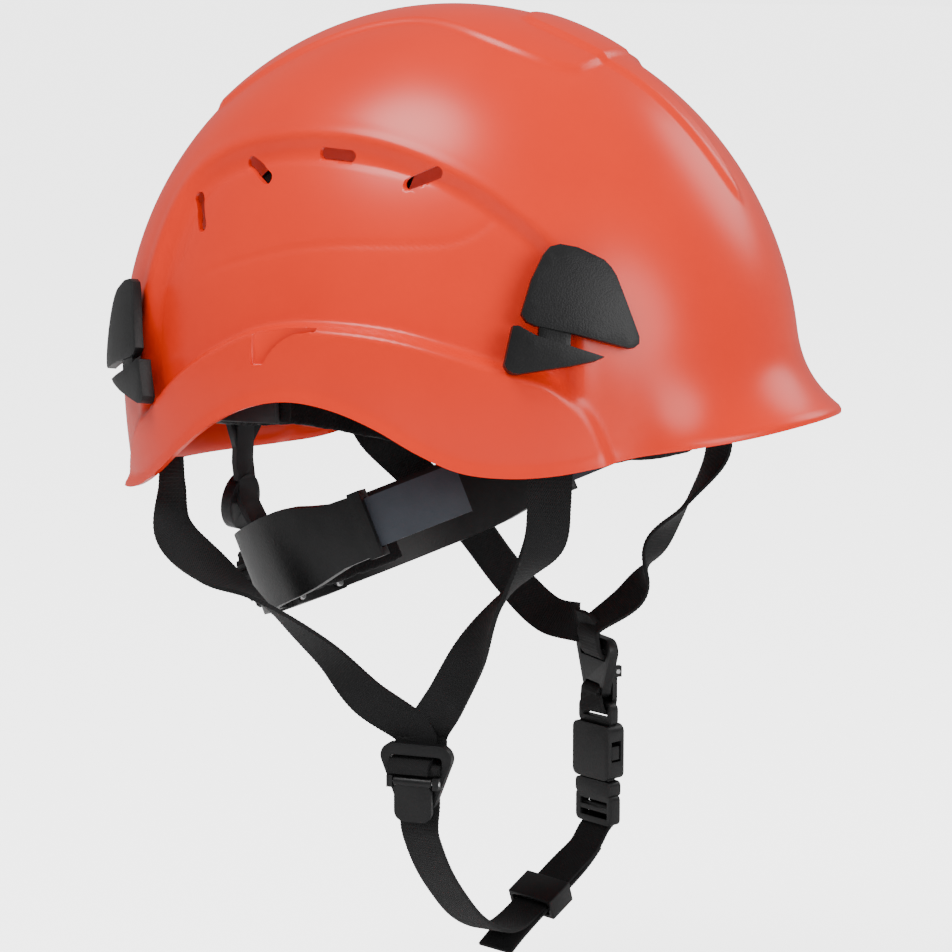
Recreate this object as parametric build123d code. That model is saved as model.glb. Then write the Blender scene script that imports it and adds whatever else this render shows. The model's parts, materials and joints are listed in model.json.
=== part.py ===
"""Arborist helmet: moulded shell, suspension with ratchet size adjuster, lamp clips and chin strap.

Millimetres, +Z up. The front of the helmet faces -Y and the wearer's right is -X.
The origin is the centre of the head opening, level with the headband, where a head carries the helmet.
"""

from build123d import *
from math import atan2, cos, degrees, radians, sin
import os

# ---------------------------------------------------------------- driving dimensions
SHELL_HALF_WIDTH = 108.0
SHELL_HALF_LENGTH = 138.0
DOME_HEIGHT = 139.0          # from the widest level up to the crown
WIDEST_Z = 21.0
SKIRT_DEPTH = 200.0          # how slowly the skirt draws in below the widest level
CROWN_FLAT = 0.03            # the very top of the dome is level
WALL = 2.4
RECESS = 4.0                 # depth of the vented side panels
BAND_RISE = 2.0              # how far the rim band stands out
CROWN_RISE = 1.5
SPINE_RISE = 3.0

PEAK_REACH = 157.0           # front tip of the peak, in front of the origin
PEAK_CENTRE_Y = -88.6
PEAK_TOP_Z = 40.0
PEAK_TIP_Z = 12.0

VENT_LENGTH = 16.0
VENT_WIDTH = 4.6
VENTS = ((70, 84, 58), (42, 101, 27), (7, 108, 3), (-30, 101, -22))   # y, z, slope in degrees

RIM = ((150, -27), (118, -26), (104, -24), (93, -20), (80, -13), (68, -5), (56, 3), (44, 10), (30, 16),
       (10, 20), (-8, 18), (-25, 12), (-40, 4), (-54, -2), (-70, -4), (-86, -3), (-100, 0), (-116, 4),
       (-132, 8), (-150, 12), (-175, 14))
LEDGE = ((125, -60), (116, -24), (104, 0), (88, 12), (74, 24), (60, 33), (44, 41), (30, 47), (10, 50),
         (-12, 50), (-32, 48), (-52, 43), (-72, 37), (-90, 31), (-104, 14), (-110, -60))
PANEL = ((92, 14), (94, 50), (91, 66), (87, 80), (80, 95), (66, 106), (44, 113), (14, 116.5), (-18, 113),
         (-48, 102), (-68, 90), (-84, 76), (-90, 36))

CROWN = ((-38, 92), (-41, 70), (-39, 45), (-31, 12), (-30, -5), (-38, -36), (-34, -66), (-17, -70))
SPINE = ((-15, -30), (-16, -60), (-9, -84), (-6, -121))

ACCESSORY_SLOT = (2.4, 28.0, 22.0)   # across, along and down
ACCESSORY_SLOT_AT = (SHELL_HALF_WIDTH - 0.6, 14.0, 43.0)

RING_TILT = 24.0             # the adjuster ring is lower at the nape
RING_CENTRE = (0.0, 4.0, -33.0)
RING_RADIUS = 80.0
RACK_THICK = 1.6
RACK_HALF_HEIGHT = 9.5
RACK_STRIP_Z = (7.1, 9.5)    # the toothed strip of each rack, above or below the pinion
RACK_WIDE_FROM = 60.0        # degrees from the nape where a rack widens into its band
RACK_FRONT = 125.0
RACK_PAST_CENTRE = 24.0
RACK_FIT = 0.4               # play around the rack bands in their sleeves
SLEEVE_END = 99.0
SLEEVE_WALL = 2.0
SLEEVE_HALF_HEIGHT = 12.0
SLEEVE_SIDE = ((90, 16.6), (50, 17.6), (37, 18), (27, 17.8), (19, 16.6), (12, 14.6), (4, 12.6), (-8, 12),
               (-30, 12), (-30, -12), (-8, -12), (4, -12.2), (12, -13.4), (20, -14.6), (30, -15.4), (44, -15.6),
               (90, -16.6))          # y and z of the sleeves' outline, in the ring's own frame
BLOCK_ANGLE = 16.0           # half the width of the ratchet block, in degrees
BLOCK_RADII = (74.5, 84.4)
YOKE_FOOT_RADII = (84.7, 87.0)   # between the ratchet block and its knob
BLOCK_HALF_HEIGHT = 17.0
TOOTH_PITCH = 3.2
TOOTH_WIDTH = 1.2
PINION_TEETH = 12
PINION_ROOT = 4.9
PINION_TIP = 6.8
PINION_RADII = (78.4, 81.6)
KNOB_RADIUS = 14.0
KNOB_RADII = (87.4, 96.0)
SHAFT_RADIUS = 2.5

WEB_WIDTH = 16.0
WEB_THICK = 1.6

CLIP_RISE = 7.0
CLIP_PLATE = 3.4
CLIP_NECK_RISE = 5.4
CLIP_FLAP = ((-14.4, 13.6), (-12, 16.3), (-8.3, 17.1), (-2.1, 15.8), (4, 12.8), (7.3, 11.1), (9.8, 8.4),
             (11.6, 5.2), (19.2, -16.7), (19, -19.1), (17.4, -20.4), (14.9, -20.6), (-5.5, -15.1),
             (-18.5, -11.9), (-21.4, -10.4), (-23.2, -7.6), (-19.1, 4.6))
CLIP_NECK = ((-16.6, -9.1), (-5.4, -12.8), (-5.9, -20.7), (-17.2, -17.9))
CLIP_FOOT = ((-26.2, -11.6), (-24.2, -11.7), (-17.8, -15.6), (6.2, -23.6), (3.0, -24.9),
             (-5.8, -26.5), (-24.5, -28.7), (-26.5, -28.4), (-28.6, -27), (-29.5, -25.2))

OUT = "parts"


# ---------------------------------------------------------------- helpers
def ellipsoid(a, b, c):
    return scale(Sphere(1.0), by=(a, b, c))


def dome(offset):
    """Solid inside the shell surface moved outward by offset: a dome on a skirt that draws in slowly."""
    a = SHELL_HALF_WIDTH + offset
    b = SHELL_HALF_LENGTH + offset
    height = DOME_HEIGHT + offset
    kept = height - CROWN_FLAT
    upper = ellipsoid(a, b, height) & Pos(0, 0, kept / 2) * Box(400, 400, kept)
    lower = ellipsoid(a, b, SKIRT_DEPTH) & Pos(0, 0, -35) * Box(400, 400, 70)
    return Pos(0, 0, WIDEST_Z) * (upper + lower)


def side_face(points):
    """Face in the side view; points are (y, z)."""
    wire = Wire.make_polygon([Vector(0, y, z) for y, z in points], close=True)
    return Face(wire)


def side_prism(points, x0, x1):
    """Side-view outline carried across the helmet from x0 to x1."""
    solid = extrude(side_face(points), amount=x1 - x0, dir=(1, 0, 0))
    return Pos(x0, 0, 0) * solid


def both_sides(shape):
    return shape + mirror(shape, about=Plane.YZ)


def left_copy(shape):
    return mirror(shape, about=Plane.YZ)


def smooth_side_prism(upper, lower_points, x0, x1):
    """Prism under a smooth curve through upper, closed by straight lines through lower_points."""
    curve = Edge.make_spline([Vector(x0, y, z) for y, z in upper])
    chain = [curve.end_point()] + [Vector(x0, y, z) for y, z in lower_points] + [curve.start_point()]
    sides = [Edge.make_line(p, q) for p, q in zip(chain, chain[1:])]
    return extrude(Face(Wire([curve] + sides)), amount=x1 - x0, dir=(1, 0, 0))


def ribbon(stations, width, thick):
    """Flat band through stations of (point, width direction), as straight-sided stretches."""
    points = [Vector(*s[0]) for s in stations]
    rings = []
    for i, (_, across) in enumerate(stations):
        before = points[max(i - 1, 0)]
        after = points[min(i + 1, len(points) - 1)]
        run = (after - before).normalized()
        side = Vector(*across)
        side = (side - run * side.dot(run)).normalized()
        up = run.cross(side)
        corners = [points[i] + side * (u * width / 2) + up * (v * thick / 2)
                   for u, v in ((-1, -1), (1, -1), (1, 1), (-1, 1))]
        rings.append(Face(Wire.make_polygon(corners, close=True)))
    return Solid.make_loft([f.outer_wire() for f in rings], ruled=True)


def arc_plate(r0, r1, z0, z1, start, end):
    """Part of a ring between two angles measured from the nape, positive to the wearer's left."""
    section = Face(Wire.make_polygon([Vector(r0, 0, z0), Vector(r1, 0, z0), Vector(r1, 0, z1),
                                      Vector(r0, 0, z1)], close=True))
    solid = revolve(section, axis=Axis.Z, revolution_arc=end - start)
    return Rot(0, 0, 90 - end) * solid


def ring_place(shape):
    """From the adjuster's own upright frame to its place in the helmet."""
    return Pos(*RING_CENTRE) * Rot(-RING_TILT, 0, 0) * shape


def ring_point(angle, radius=RING_RADIUS, height=0.0):
    """A point of the adjuster ring in the helmet's frame, angle from the nape to the wearer's left."""
    a, t = radians(angle), radians(RING_TILT)
    x, y, z = radius * sin(a), radius * cos(a), height
    return (RING_CENTRE[0] + x, RING_CENTRE[1] + y * cos(t) + z * sin(t),
            RING_CENTRE[2] - y * sin(t) + z * cos(t))


def save(name, shape):
    solids = list(shape.solids()) if hasattr(shape, "solids") else list(shape)
    kept = solids[0] if len(solids) == 1 else Compound(children=solids)
    export_step(kept, f"{OUT}/{name}.step")


# ---------------------------------------------------------------- shell
def peak():
    """Concave flare at the front, turned about an upright axis so that it fades out at the temples."""
    root = SHELL_HALF_LENGTH + PEAK_CENTRE_Y
    tip = PEAK_REACH + PEAK_CENTRE_Y
    outer = Edge.make_three_point_arc(Vector(root - 1, 0, PEAK_TOP_Z), Vector(root + 5, 0, 22),
                                      Vector(tip, 0, PEAK_TIP_Z + 3))
    edges = [outer,
             Edge.make_line(Vector(tip, 0, PEAK_TIP_Z + 3), Vector(tip, 0, 0)),
             Edge.make_line(Vector(tip, 0, 0), Vector(root - 18, 0, 0)),
             Edge.make_line(Vector(root - 18, 0, 0), Vector(root - 18, 0, PEAK_TOP_Z)),
             Edge.make_line(Vector(root - 18, 0, PEAK_TOP_Z), Vector(root - 1, 0, PEAK_TOP_Z))]
    solid = revolve(Face(Wire(edges)), axis=Axis.Z, revolution_arc=180)
    return Pos(0, PEAK_CENTRE_Y, 0) * Rot(0, 0, 180) * solid


def peak_hollow():
    """The underside of the peak, one wall below its top."""
    return Pos(0, WALL + 0.6, -WALL - 1.2) * peak()


def top_outline(right_half):
    """Upright prism over an outline seen from above, given on the wearer's right and mirrored."""
    full = [Vector(x, y, 60) for x, y in right_half] + [Vector(-x, y, 60) for x, y in reversed(right_half)]
    return extrude(Face(Wire.make_polygon(full, close=True)), amount=140, dir=(0, 0, 1))


def vent(y, z, slope):
    slot = extrude(Plane.YZ * Rot(0, 0, slope) * SlotOverall(VENT_LENGTH, VENT_WIDTH), amount=110)
    return Pos(30, y, z) * slot


def accessory_slot():
    """Blade socket cut down into the ledge of the rim band, beside each ear."""
    return Pos(*ACCESSORY_SLOT_AT) * Box(*ACCESSORY_SLOT)


def make_shell():
    below_rim = smooth_side_prism(RIM, ((-175, -90), (150, -90)), -170, 170)
    band_zone = smooth_side_prism(LEDGE, ((-175, -90), (150, -90)), -170, 170)
    panel_cut = side_prism(PANEL, 42, 170)
    grown = [(y * 1.03, z + (3.0 if z > 60 else -1.0)) for y, z in PANEL]
    inner_cut = side_prism(grown, 40, 170)
    solid = dome(0) - both_sides(panel_cut - dome(-RECESS))
    solid = solid + (dome(BAND_RISE) & band_zone)
    solid = solid + (dome(CROWN_RISE) & top_outline(CROWN))
    solid = solid + (dome(SPINE_RISE) & top_outline(SPINE))
    solid = solid + peak()
    hollow = dome(-WALL) - both_sides(inner_cut - dome(-RECESS - WALL))
    shell = solid - hollow - (peak_hollow() - dome(-WALL)) - below_rim
    for y, z, slope in VENTS:
        shell = shell - both_sides(vent(y, z, slope))
    return shell - both_sides(accessory_slot())


# ---------------------------------------------------------------- lamp clips
def surface_frame(x, y, z):
    """Plane on the shell: local X runs level towards the front, local Y up the wall, local Z outward."""
    n = Vector(x / SHELL_HALF_WIDTH ** 2, y / SHELL_HALF_LENGTH ** 2,
               (z - WIDEST_Z) / DOME_HEIGHT ** 2).normalized()
    level = Vector(0, 0, 1).cross(n).normalized()
    if level.Y > 0:
        level = level * -1
    up = n.cross(level)
    if up.Z < 0:
        return Plane(origin=(x, y, z), x_dir=level, z_dir=n * -1)
    return Plane(origin=(x, y, z), x_dir=level, z_dir=n)


def clip_prism(plane, points):
    face = Face(Wire.make_polygon([plane.from_local_coords(Vector(u, v, -14)) for u, v in points],
                                  close=True))
    return extrude(face, amount=40, dir=plane.z_dir)


def lamp_clip(place, mirrored):
    """Flap standing off the shell, a neck, and a wedge-shaped foot; a lamp strap runs behind the flap."""
    plane = surface_frame(*place)
    s = -1 if mirrored else 1
    flap = [(s * u, v) for u, v in CLIP_FLAP]
    neck = [(s * u, v) for u, v in CLIP_NECK]
    foot = [(s * u, v) for u, v in CLIP_FOOT]
    if plane.z_dir.X > 0:
        plane = Plane(origin=plane.origin, x_dir=plane.x_dir, z_dir=plane.z_dir * -1)
    shell_gap = 0.15
    top = dome(CLIP_RISE)
    plate = (top - dome(CLIP_RISE - CLIP_PLATE)) & clip_prism(plane, flap)
    base = dome(BAND_RISE + shell_gap)
    low = dome(CLIP_NECK_RISE) - base
    return plate + (low & clip_prism(plane, neck)) + ((top - base) & clip_prism(plane, foot))


# ---------------------------------------------------------------- suspension
# The suspension hangs a little askew: its left side is lower than its right.
HOOP = ((-75.5, 36, 11), (-72, 54, 10), (-62, 70, 8), (-46, 83, 4), (-24, 91, 0), (0, 94, -4), (24, 91, -6),
        (46, 83, -11), (62, 70, -16), (72, 54, -19.5), (75.5, 41, -21.5))
LUGS = (("rear_outer", 60, 109, 0), ("rear_inner", 25, 127, 6), ("front_outer", 78, -80, 18),
        ("front_inner", 30, -122, 24))       # name, x, y, z on the left side


def upright_ribbon(route, width, thick):
    return ribbon([(p, (0, 0, 1)) for p in route], width, thick)


def make_rear_hoop():
    return upright_ribbon(HOOP, 11.0, 2.2)


def make_rear_pad():
    return upright_ribbon([(x * 0.955, y - 3.4, z - 0.5) for x, y, z in HOOP], 10.5, 3.2)


def front_route(inset, z):
    """Forehead half of the headband, from temple to temple."""
    route = []
    for i in range(-4, 5):
        a = radians(i * 16.5)
        route.append(((80 - inset) * sin(a), -6 - (99 - inset) * cos(a), z))
    return route


def make_headband():
    return upright_ribbon(front_route(0, 9), 24.0, 2.0)


def make_sweatband():
    return upright_ribbon(front_route(3.4, 8.5), 28.0, 3.4)


def lug(x, y, z):
    block = Pos(x, y, z) * Rot(0, 0, degrees(atan2(y, x))) * Box(30, 16, 15)
    return (dome(-WALL - 0.1) - dome(-9.0)) & block


def make_lugs(side):
    parts = [lug(side * x, y, z) for _, x, y, z in LUGS]
    return [s for p in parts for s in p.solids()]


def strut(start, end, width):
    return ribbon([(start, (0, 0, 1)), (end, (0, 0, 1))], width, 2.0)


def make_rear_struts(side):
    """V-shaped arms from a rear lug down to the hoop."""
    top = (side * 54.5, 101, -1)
    outer_z, inner_z = (-9.0, -5.5) if side > 0 else (4.0, 2.0)
    return strut(top, (side * 47.4, 85.5, outer_z), 7) + strut(top, (side * 33.4, 91.4, inner_z), 7)


def make_yoke():
    """Stem from the hoop to a foot under the ratchet knob, with two prongs to the shell and a dished boss."""
    stem = ribbon([((0, 97.6, -8), (1, 0, 0)), ((0, 98.4, -24), (1, 0, 0)), ((0, 96.5, -40), (1, 0, 0)),
                   ((0, 90.4, -50.6), (1, 0, 0))], 13.0, 2.4)
    r0, r1 = YOKE_FOOT_RADII
    foot = arc_plate(r0, r1, -8.0, 20.5, -4.4, 4.4) - radial_cylinder(SHAFT_RADIUS + 0.3, r0 - 1, r1 + 1)
    shape = stem + ring_place(foot)
    for s in (-1, 1):
        shape = shape + ribbon([((s * 3, 98.3, -17), (1, 0, 0.4 * s)), ((s * 13, 97.5, -6), (1, 0, 0.4 * s)),
                                ((s * 21, 118, 4), (1, 0, 0.3 * s))], 6.5, 2.2)
    boss = Pos(0, 99.6, -41) * Rot(90, 0, 0) * Rot(6, 0, 0) * Cylinder(11.5, 4.6)
    dish = Pos(0, 105.5, -41) * Sphere(9.0)
    return shape + (boss - dish)


def crown_route(half_width, half_length, top, turns, along_y):
    route = []
    for i in range(-turns, turns + 1):
        a = radians(i * 72.0 / turns)
        if along_y:
            route.append((0.0, half_length * sin(a), WIDEST_Z + top * cos(a)))
        else:
            route.append((half_width * sin(a), 0.0, WIDEST_Z + top * cos(a)))
    return route


def make_crown_strap(along_y):
    across = (1, 0, 0) if along_y else (0, 1, 0)
    rise = 104.0 if along_y else 100.0
    route = crown_route(84, 112, rise, 6, along_y)
    return ribbon([(p, across) for p in route], 20.0, 1.4)


def make_crown_pad():
    return Pos(0, 0, WIDEST_Z + 84.0) * Cylinder(34.0, 7.0)


# ---------------------------------------------------------------- ratchet size adjuster, in its own upright frame
def make_rack(side):
    """Toothed strip past the nape, widening into the band that closes round the head."""
    r0, r1 = RING_RADIUS - RACK_THICK / 2, RING_RADIUS + RACK_THICK / 2
    z0, z1 = RACK_STRIP_Z
    strip = arc_plate(r0, r1, z0, z1, -RACK_PAST_CENTRE, RACK_WIDE_FROM + 0.5)
    band = arc_plate(r0, r1, -RACK_HALF_HEIGHT, RACK_HALF_HEIGHT, RACK_WIDE_FROM, RACK_FRONT)
    shape = strip + band
    step = degrees(TOOTH_PITCH / RING_RADIUS)
    width = degrees(TOOTH_WIDTH / RING_RADIUS)
    count = int((RACK_PAST_CENTRE - 1) / step)
    for k in range(-count, count + 4):
        centre = (k + 0.5) * step
        shape = shape + arc_plate(r0, r1, z0 - 1.7, z0 + 0.2, centre - width / 2, centre + width / 2)
    return shape if side > 0 else Rot(0, 180, 0) * shape


def radial_cylinder(radius, r0, r1, x=0.0, z=0.0):
    """Cylinder standing out from the ring at the nape, from radius r0 to r1."""
    return Pos(x, (r0 + r1) / 2, z) * Rot(90, 0, 0) * Cylinder(radius, r1 - r0)


def make_pinion():
    r0, r1 = PINION_RADII
    gear = radial_cylinder(PINION_ROOT, r0, r1)
    tooth = Pos(0, (r0 + r1) / 2, PINION_TIP / 2) * Box(1.1, r1 - r0, PINION_TIP)
    for k in range(PINION_TEETH):
        gear = gear + Rot(0, k * 360 / PINION_TEETH, 0) * tooth
    return gear - radial_cylinder(SHAFT_RADIUS + 0.01, r0 - 1, r1 + 1)


def make_knob():
    r0, r1 = KNOB_RADII
    knob = radial_cylinder(KNOB_RADIUS, r0, r1)
    grip = radial_cylinder(1.6, r0 - 1, r1 + 1, x=KNOB_RADIUS + 0.5)
    for k in range(16):
        knob = knob - Rot(0, k * 22.5, 0) * grip
    return knob + radial_cylinder(SHAFT_RADIUS, PINION_RADII[0] - 0.6, r0 + 1)


SCREW_PLACES = tuple((x, z) for x in (-15.0, 15.0) for z in (-13.4, 13.4))


def make_housing():
    """Ratchet block with a lobed sleeve on each side that guides a rack band round the head."""
    gap = RACK_THICK / 2 + RACK_FIT
    high = RACK_HALF_HEIGHT + RACK_FIT
    inner, outer = RING_RADIUS - gap - SLEEVE_WALL, RING_RADIUS + gap + SLEEVE_WALL
    wall = arc_plate(inner, outer, -20, 20, -SLEEVE_END + 1, SLEEVE_END - 1)
    sleeve = wall & side_prism(SLEEVE_SIDE, -100, 100)
    block = arc_plate(BLOCK_RADII[0], BLOCK_RADII[1], -BLOCK_HALF_HEIGHT, BLOCK_HALF_HEIGHT,
                      -BLOCK_ANGLE, BLOCK_ANGLE)
    collar = arc_plate(inner - 0.8, outer + 0.8, -SLEEVE_HALF_HEIGHT - 1, SLEEVE_HALF_HEIGHT + 1,
                       SLEEVE_END - 3.5, SLEEVE_END)
    channel = arc_plate(RING_RADIUS - gap, RING_RADIUS + gap, -high, high, -SLEEVE_END - 5, SLEEVE_END + 5)
    shape = sleeve + block + collar + left_copy(collar) - channel
    shape = shape - radial_cylinder(PINION_TIP + 1.0, BLOCK_RADII[0] - 1, PINION_RADII[1] + 0.6)
    shape = shape - radial_cylinder(SHAFT_RADIUS + 0.06, RING_RADIUS, BLOCK_RADII[1] + 1)
    for x, z in SCREW_PLACES:
        shape = shape - radial_cylinder(1.3, BLOCK_RADII[0] - 4, BLOCK_RADII[0] + 5, x, z)
    return shape


def make_inner_cover():
    r1 = BLOCK_RADII[0] - 0.1
    plate = arc_plate(r1 - 1.8, r1, -BLOCK_HALF_HEIGHT, BLOCK_HALF_HEIGHT, -BLOCK_ANGLE, BLOCK_ANGLE)
    for x, z in SCREW_PLACES:
        plate = plate - radial_cylinder(1.4, r1 - 6, r1 + 4, x, z)
    return plate


def make_screws():
    return [radial_cylinder(1.25, 70.1, 77.0, x, z) + radial_cylinder(2.3, 68.9, 70.3, x, z)
            for x, z in SCREW_PLACES]


def make_nape_pad():
    return arc_plate(64.5, 68.6, -14.0, 14.0, -38, 38)


# ---------------------------------------------------------------- webbing and chin strap hardware
RIGHT_DIVIDER = (-72.5, -22.0, -124.0)
LEFT_DIVIDER = (62.0, -32.5, -107.0)


def make_anchor(x, y, z):
    s = 1 if x > 0 else -1
    turn = degrees(atan2(y / SHELL_HALF_LENGTH ** 2, x / SHELL_HALF_WIDTH ** 2))
    return Pos(x, y, z) * Rot(0, 0, turn) * Box(3.0, 22.0, 9.0)


def make_right_rear_strap():
    return ribbon([((-74.5, 84.5, -11), (0.5, 1, 0)), ((-76, 83.5, -22), (0.4, 1, 0)),
                   ((-81, 80, -38), (0.3, 1, 0.3)), ((-85, 60, -51), (0.5, 0.6, 0.8)), ((-85.5, 41, -60), (0.9, 0.3, 0.5)),
                   ((-84, 25, -70), (0.6, 0.2, 0.9)), ((-80, 12, -81), (0.2, -0.5, 1)),
                   ((-76, -2, -96), (0.1, -0.7, 0.7)), ((-73.4, -13, -109), (0.05, -0.8, 0.6))],
                  WEB_WIDTH, WEB_THICK)


def make_right_front_strap():
    return ribbon([((-75.5, -79, -4), (0.5, -1, 0)), ((-76.5, -79, -16), (0.5, -1, 0)),
                   ((-76, -77, -30), (0.7, -0.8, 0.1)), ((-76, -66, -46), (1, -0.2, 0.3)),
                   ((-75, -56, -58), (0.8, 0.4, 0.3)), ((-74.5, -44, -78), (0.2, 0.8, 0.3)),
                   ((-74, -35, -94), (0.05, 0.9, 0.4)), ((-73.4, -30, -107), (0.05, 0.9, 0.35))],
                  WEB_WIDTH, WEB_THICK)


def make_left_rear_strap():
    return ribbon([((74.5, 84.5, -12), (0.5, -1, 0)), ((76.5, 79, -23), (0.4, -1, 0.2)),
                   ((84, 66, -38), (0.3, -1, 0.5)), ((85, 41, -57), (0.2, -0.7, 0.8)), ((80, 18, -78), (0.1, -0.6, 0.8)),
                   ((70, -6, -91), (0.5, -0.4, 0.9)), ((65.0, -20, -96), (0.5, -0.5, 0.8))],
                  WEB_WIDTH, WEB_THICK)


def make_left_front_strap():
    return ribbon([((75.5, -79, -4), (0.5, 1, 0)), ((76, -79, -18), (0.6, 1, 0)), ((73, -68, -38), (1, 0.4, 0)),
                   ((71, -56, -55), (0.9, -0.4, 0.2)), ((67, -46, -78), (0.5, 0.8, 0.3)),
                   ((64.4, -42, -93), (0.4, 0.9, 0.3))], WEB_WIDTH, WEB_THICK)


def rounded_block(width, height, thick, radius):
    return extrude(RectangleRounded(width, height, radius), amount=thick / 2, both=True)


def divider_outline():
    """Rounded triangle, wide side up, in the divider's own plane."""
    pts = ((-16.5, 11.5), (16.5, 11.5), (6.5, -14.5), (-6.5, -14.5))
    corners = [Vector(x, y) for x, y in pts]
    face = Face(Wire.make_polygon(corners, close=True))
    return fillet(face.vertices(), 5.0)


def divider_plane(centre, side, yaw):
    """Divider's own plane: local X to the front, local Y up, local Z away from the head."""
    out = Vector(side * cos(radians(yaw)), -sin(radians(yaw)), 0)
    return Plane(origin=centre, x_dir=Vector(0, 0, 1).cross(out), z_dir=out)


def make_divider_frame(plane):
    body = extrude(divider_outline(), amount=2.0, both=True)
    window = Pos(0, 4.6, 0) * extrude(RectangleRounded(21.0, 5.0, 1.5), amount=5, both=True)
    low = Pos(0, -9.6, 0) * extrude(RectangleRounded(12.0, 3.6, 1.2), amount=5, both=True)
    shape = body - window - low
    for s in (-1, 1):
        ear = Pos(s * 9.2, -2.4, 3.6) * Box(2.4, 4.6, 4.4)
        shape = shape + ear
    shape = shape - Pos(0, -2.4, 4.2) * Rot(0, 90, 0) * Cylinder(1.05, 40)
    return plane.location * shape


def make_divider_pin(plane):
    return plane.location * Pos(0, -2.4, 4.2) * Rot(0, 90, 0) * Cylinder(1.0, 21.0)


def make_divider_lever(plane):
    knuckle = Pos(0, -2.4, 4.2) * Rot(0, 90, 0) * Cylinder(1.8, 15.0)
    tab = Pos(0, -10.0, 4.3) * rounded_block(15.0, 15.4, 2.2, 4.0)
    bore = Pos(0, -2.4, 4.2) * Rot(0, 90, 0) * Cylinder(1.05, 30)
    return plane.location * (knuckle + tab - bore)


BUCKLE_TOP = (60.5, -34.0, -131.5)
ARM_OFFSET = 6.6
ARM_ROOT_V = -23.5
ARM_ROOT_RADIUS = 1.3


def buckle_plane():
    out = Vector(cos(radians(20)), -sin(radians(20)), 0)
    return Plane(origin=BUCKLE_TOP, x_dir=Vector(0, 0, 1).cross(out), z_dir=out)


def make_buckle_socket():
    """Female half: a flat box open at the bottom, with a window each side and a webbing slot on top."""
    body = Pos(0, -11.5, 0) * rounded_block(21.0, 23.0, 9.0, 3.0)
    cavity = Pos(0, -14.6, 0) * Box(16.4, 18.6, 5.2)
    windows = Pos(0, -11.0, 0) * Box(40, 8.5, 5.2)
    loop = Pos(0, 4.0, 0) * rounded_block(19.0, 10.0, 4.0, 3.0) - Pos(0, 4.6, 0) * Box(14.0, 4.4, 9)
    return buckle_plane().location * (body - cavity - windows + loop)


def make_buckle_plug():
    """Male half: middle tongue, shoulders and a ladder end for the webbing."""
    shoulder = Pos(0, -27.2, 0) * rounded_block(20.0, 6.6, 6.5, 2.0)
    tongue = Pos(0, -16.0, 0) * Box(4.0, 17.0, 3.6)
    ladder = Pos(0, -36.0, 0) * rounded_block(21.0, 13.0, 5.0, 2.5)
    for v in (-34.0, -38.6):
        ladder = ladder - Pos(0, v, 0) * Box(15.5, 2.6, 9)
    for side in (-1, 1):
        shoulder = shoulder - arm_root(side, ARM_ROOT_RADIUS + 0.15)
    return buckle_plane().location * (shoulder + tongue + ladder)


def arm_root(side, radius):
    """Round root where a sprung arm bends in its seat in the plug."""
    return Pos(side * ARM_OFFSET, ARM_ROOT_V, 0) * Cylinder(radius, 4.2 + 2 * (radius - ARM_ROOT_RADIUS))


def make_buckle_arm(side):
    """Sprung arm of the plug: squeezed inward through the window to let go."""
    arm = Pos(side * ARM_OFFSET, -16.2, 0) * Box(1.9, 14.6, 4.2)
    pad = Pos(side * 8.5, -11.6, 0) * Box(3.4, 5.6, 4.2)
    return buckle_plane().location * (arm + pad + arm_root(side, ARM_ROOT_RADIUS))


CHIN_ROUTE = (((-70.8, -22, -146), (0, 1, 0)), ((-67, -22, -154), (0, 1, 0)), ((-58, -21.5, -166), (0, 1, 0)),
              ((-45, -21, -179), (0, 1, 0)), ((-30, -20, -191), (0, 1, 0)), ((-14, -19.2, -200), (0, 1, 0)),
              ((0, -19, -205), (0, 1, 0)), ((13, -19.5, -205), (0, 1, 0)), ((46, -26.5, -190), (0.1, 1, 0)),
              ((54, -31, -183), (0.3, 1, 0)), ((58.4, -33.4, -176), (0.34, 1, 0)))
KEEPER_FROM = Vector(13, -19.5, -205)
KEEPER_TO = Vector(46, -26.5, -190)


def make_chin_strap():
    return ribbon(CHIN_ROUTE, WEB_WIDTH, WEB_THICK)


def keeper_frame():
    run = (KEEPER_TO - KEEPER_FROM).normalized()
    across = (Vector(0, 1, 0) - run * run.dot(Vector(0, 1, 0))).normalized()
    return Plane(origin=(KEEPER_FROM + KEEPER_TO) * 0.5, x_dir=across, z_dir=run)


def make_strap_tail():
    """Loose end of the chin strap, doubled back under it through the keeper."""
    plane = keeper_frame()
    down = plane.y_dir if plane.y_dir.Z < 0 else plane.y_dir * -1
    run = plane.z_dir
    lower = plane.origin + down * 2.4
    points = [lower + run * 23 + down * -0.2, lower + run * 14, lower - run * 14, lower - run * 22 + down * 4]
    stations = [((p.X, p.Y, p.Z), (plane.x_dir.X, plane.x_dir.Y, plane.x_dir.Z)) for p in points]
    return ribbon(stations, WEB_WIDTH, WEB_THICK)


def make_keeper():
    plane = keeper_frame()
    down = -1 if plane.y_dir.Z > 0 else 1
    block = Pos(0, down * 1.2, 0) * (Box(21.5, 9.2, 14.0) - Box(17.4, 5.4, 20.0))
    return plane.location * block


# ---------------------------------------------------------------- write every piece
FRONT_CLIP = (-76.0, -92.0, 62.0)
REAR_CLIP = (-70.0, 104.0, 40.0)
ANCHORS = (("right_rear", -74, 86, -3), ("right_front", -75.5, -80, 2.5), ("left_rear", 74, 86, -3),
           ("left_front", 75.5, -80, 2.5))


def save_shell_pieces():
    save("shell", make_shell())
    front_clip = lamp_clip(FRONT_CLIP, False)
    rear_clip = lamp_clip(REAR_CLIP, True)
    save("front_right_lamp_clip", front_clip)
    save("rear_right_lamp_clip", rear_clip)
    save("front_left_lamp_clip", left_copy(front_clip))
    save("rear_left_lamp_clip", left_copy(rear_clip))


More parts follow.
